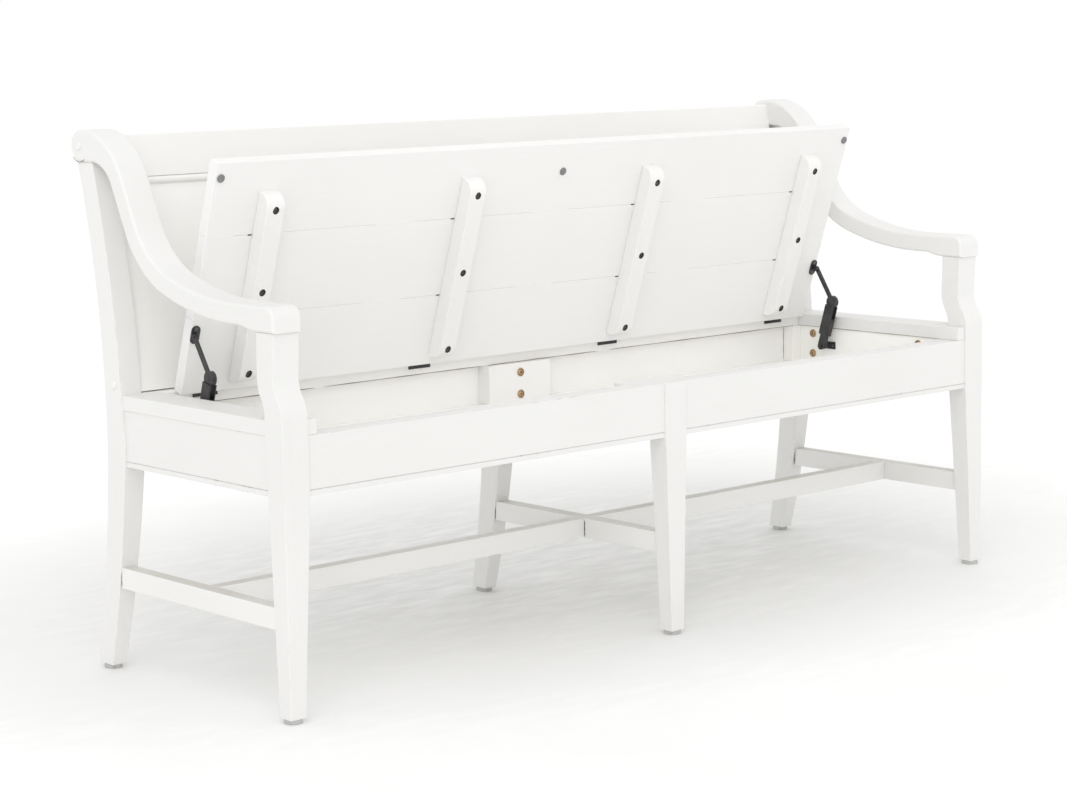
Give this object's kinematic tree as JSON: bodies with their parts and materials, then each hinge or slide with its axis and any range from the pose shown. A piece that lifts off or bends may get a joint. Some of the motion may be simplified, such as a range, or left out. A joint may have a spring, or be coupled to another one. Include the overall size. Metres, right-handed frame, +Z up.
{
  "type": "storage bench",
  "caption": "Long painted wooden storage bench with a hinged seat lid on folding stays, scrolled arms, a raked panelled back and turned-out rear legs joined by stretchers.",
  "frame": {"origin": "on the floor, below the middle of the bench's bounding box", "axes": "+X along the bench towards the right arm as seen from the front, +Y from the front towards the back, +Z up"},
  "size_m": [1.712, 0.568, 0.913],
  "materials": {
    "painted_wood": "satin white paint, lightly rubbed at the edges",
    "interior_wood": "flat cream paint",
    "black_metal": "semi-gloss black",
    "dark_screws": "black oxide",
    "plated_bolts": "yellow zinc plate",
    "grey_rubber": "matte",
    "glide_plastic": "matte dark grey",
    "cap_plastic": "satin white"
  },
  "bodies": {
    "frame": {"front_leg_left": "painted_wood", "front_leg_right": "painted_wood", "front_leg_middle": "painted_wood", "rear_post_left": "painted_wood", "rear_post_right": "painted_wood", "rear_leg_middle": "painted_wood", "arm_left": "painted_wood", "arm_right": "painted_wood", "back_top_rail": "painted_wood", "back_bead": "painted_wood", "back_panel": "painted_wood", "front_apron_left": "painted_wood", "front_apron_right": "painted_wood", "side_apron_left": "painted_wood", "side_apron_right": "painted_wood", "rear_apron_left": "painted_wood", "rear_apron_right": "painted_wood", "side_seat_rail_left": "painted_wood", "side_seat_rail_right": "painted_wood", "rear_seat_rail": "painted_wood", "box_end_left": "interior_wood", "box_end_right": "interior_wood", "box_floor": "interior_wood", "floor_cleats": "interior_wood", "rear_centre_block": "interior_wood", "front_centre_block": "interior_wood", "corner_blocks": "interior_wood", "side_stretcher_left": "painted_wood", "side_stretcher_right": "painted_wood", "middle_stretcher": "painted_wood", "long_stretcher_left": "painted_wood", "long_stretcher_right": "painted_wood", "foot_glides": "glide_plastic", "bolt_caps": "cap_plastic", "frame_bolts": "plated_bolts", "hinge_frame_leaves": "black_metal", "hinge_pins": "black_metal", "hinge_frame_screws": "black_metal", "stay_wall_brackets": "black_metal", "stay_bracket_screws": "dark_screws"},
    "lid": {"lid_plank_rear": "painted_wood", "lid_plank_middle": "painted_wood", "lid_plank_front": "painted_wood", "lid_batten_1": "painted_wood", "lid_batten_2": "painted_wood", "lid_batten_3": "painted_wood", "lid_batten_4": "painted_wood", "batten_screws": "dark_screws", "lid_bumpers": "grey_rubber", "hinge_lid_leaves": "black_metal", "hinge_lid_screws": "black_metal", "stay_lid_plates": "black_metal", "stay_plate_screws": "dark_screws"},
    "stay_body_left": {"stay_body_left": "black_metal"},
    "stay_body_right": {"stay_body_right": "black_metal"},
    "stay_arm_left": {"stay_arm_left": "black_metal"},
    "stay_arm_right": {"stay_arm_right": "black_metal"}
  },
  "joints": [
    {"name": "lid_hinge", "type": "hinge", "parent": "frame", "child": "lid", "pos_m": [0, 0.1365, 0.4786], "axis": [1, 0, 0], "range_deg": [0, 71.8]},
    {"name": "stay_body_left_pivot", "type": "hinge", "parent": "frame", "child": "stay_body_left", "pos_m": [-0.763, 0.058, 0.416], "axis": [1, 0, 0], "range_deg": [0, 83]},
    {"name": "stay_arm_left_pivot", "type": "hinge", "parent": "lid", "child": "stay_arm_left", "pos_m": [-0.763, 0.07181, 0.57418], "axis": [1, 0, 0], "range_deg": [-92.3, 0]},
    {"name": "stay_body_right_pivot", "type": "hinge", "parent": "frame", "child": "stay_body_right", "pos_m": [0.763, 0.058, 0.416], "axis": [1, 0, 0], "range_deg": [0, 83]},
    {"name": "stay_arm_right_pivot", "type": "hinge", "parent": "lid", "child": "stay_arm_right", "pos_m": [0.763, 0.07181, 0.57418], "axis": [1, 0, 0], "range_deg": [-92.3, 0]}
  ],
  "couplings": [
    {"joint": "stay_body_left_pivot", "follows": "lid_hinge", "ratio": 1.155},
    {"joint": "stay_arm_left_pivot", "follows": "lid_hinge", "ratio": -1.284},
    {"joint": "stay_body_right_pivot", "follows": "lid_hinge", "ratio": 1.155},
    {"joint": "stay_arm_right_pivot", "follows": "lid_hinge", "ratio": -1.284}
  ]
}
